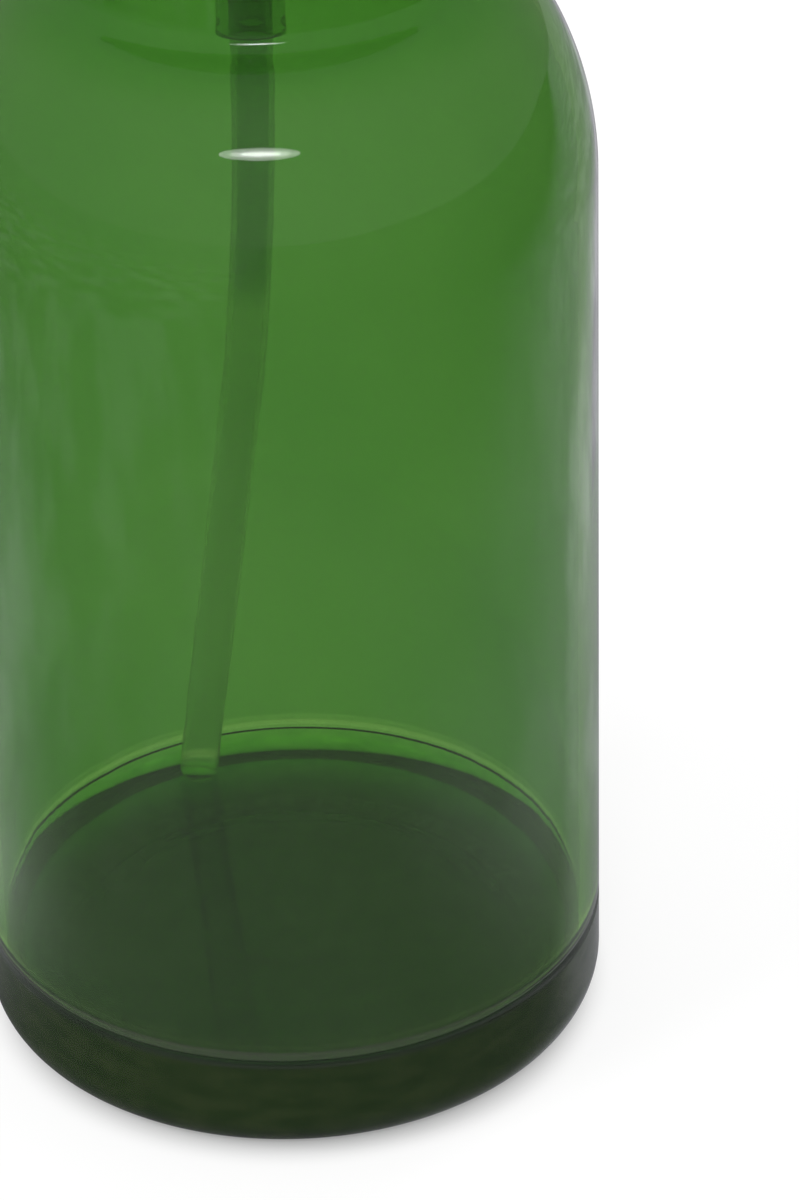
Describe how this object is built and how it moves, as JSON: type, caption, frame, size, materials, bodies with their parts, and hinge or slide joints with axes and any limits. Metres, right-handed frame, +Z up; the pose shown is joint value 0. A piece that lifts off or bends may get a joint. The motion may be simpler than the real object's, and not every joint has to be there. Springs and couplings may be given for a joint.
{
  "type": "glass carboy",
  "caption": "Wide-neck glass fermenting carboy with a thick base, a screw ring and disc lid, a bowed dip tube with a shut-off tap, and a water airlock.",
  "frame": {"origin": "centre of the base, on the surface that the carboy stands on", "axes": "+Z up the vessel's axis; +X towards the airlock and -X towards the tap's outlet; -Y is the front, where the tap's lever is"},
  "size_m": [0.16, 0.16, 0.3985],
  "materials": {
    "green_glass": "clear, green, smooth",
    "silicone": "matt translucent silicone",
    "lid_plastic": "fine matt black polypropylene",
    "smoked_plastic": "smoky grey, slightly see-through",
    "clear_plastic": "clear polystyrene",
    "cap_plastic": "satin red",
    "tap_plastic": "satin black nylon",
    "lever_plastic": "satin red acetal"
  },
  "bodies": {
    "vessel": {"glass_vessel": "green_glass"},
    "lid": {"lid_disc": "lid_plastic", "disc_gasket": "silicone", "stem_sleeve": "smoked_plastic", "stem_washer": "silicone", "stem_nut": "lid_plastic", "dip_tube": "smoked_plastic", "airlock_grommet": "silicone", "tap_body": "tap_plastic"},
    "ring": {"lid_ring": "lid_plastic"},
    "plug": {"tap_plug": "lever_plastic", "tap_retainer": "tap_plastic"},
    "airlock": {"airlock_body": "clear_plastic"},
    "float": {"airlock_float": "clear_plastic"},
    "cap": {"airlock_cap": "cap_plastic"}
  },
  "joints": [
    {"name": "ring_turn", "type": "hinge", "parent": "lid", "child": "ring", "pos_m": [0, 0, 0.32], "axis": [0, 0, 1], "range_deg": [0, 450]},
    {"name": "lid_rise", "type": "slide", "parent": "vessel", "child": "lid", "axis": [0, 0, 1], "range_m": [0, 0.0064]},
    {"name": "tap_turn", "type": "hinge", "parent": "lid", "child": "plug", "pos_m": [-0.0025, 0, 0.35752], "axis": [0, -1, 0], "range_deg": [0, 90]},
    {"name": "airlock_pull", "type": "slide", "parent": "lid", "child": "airlock", "axis": [0, 0, 1], "range_m": [0, 0.02]},
    {"name": "float_rise", "type": "slide", "parent": "airlock", "child": "float", "axis": [0, 0, 1], "range_m": [0, 0.012]},
    {"name": "cap_lift", "type": "slide", "parent": "airlock", "child": "cap", "axis": [0, 0, 1], "range_m": [0, 0.015]}
  ],
  "couplings": [
    {"joint": "lid_rise", "follows": "ring_turn", "m_per_rad": 0.00080851}
  ]
}
